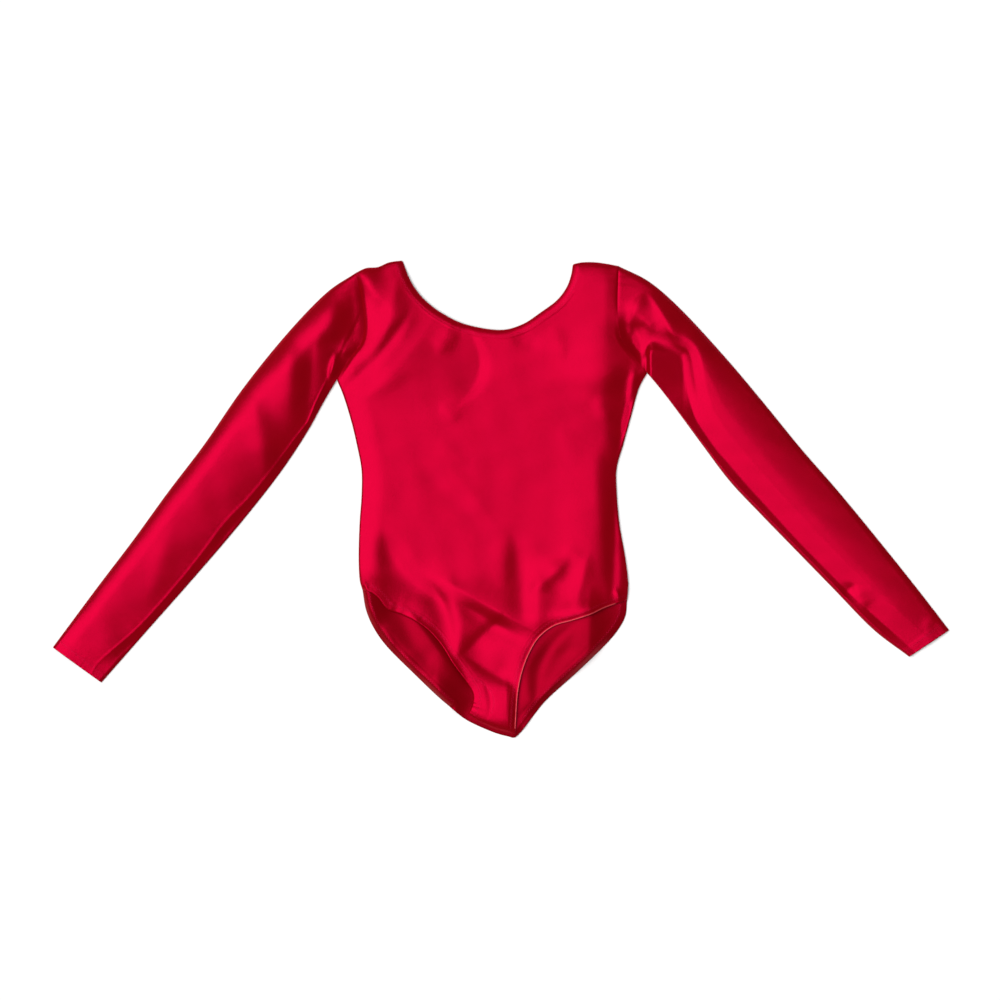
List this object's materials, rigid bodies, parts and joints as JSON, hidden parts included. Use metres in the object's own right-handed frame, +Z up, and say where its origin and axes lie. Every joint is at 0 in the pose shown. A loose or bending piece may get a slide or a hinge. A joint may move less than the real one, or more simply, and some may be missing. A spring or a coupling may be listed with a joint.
{
  "type": "long sleeve leotard",
  "caption": "Girl's long-sleeved leotard in shiny stretch cloth with a scoop neck, set-in sleeves and high-cut leg openings, lying flat face up.",
  "frame": {"origin": "on the surface the garment lies on, under the middle of its outline", "axes": "+X from the sleeve on the picture's left to the one on its right, +Y from the crotch to the neck, +Z up from the surface"},
  "size_m": [0.941, 0.5012, 0.008],
  "materials": {
    "red_stretch_satin": "satin outside of a warp-knit stretch cloth",
    "red_cloth_inside": "the same cloth, whose duller inner side shows in the leg openings"
  },
  "bodies": {
    "root": {"front_panel": "red_stretch_satin", "back_panel": "red_cloth_inside", "sleeve_left": "red_stretch_satin", "sleeve_right": "red_stretch_satin"}
  },
  "joints": []
}
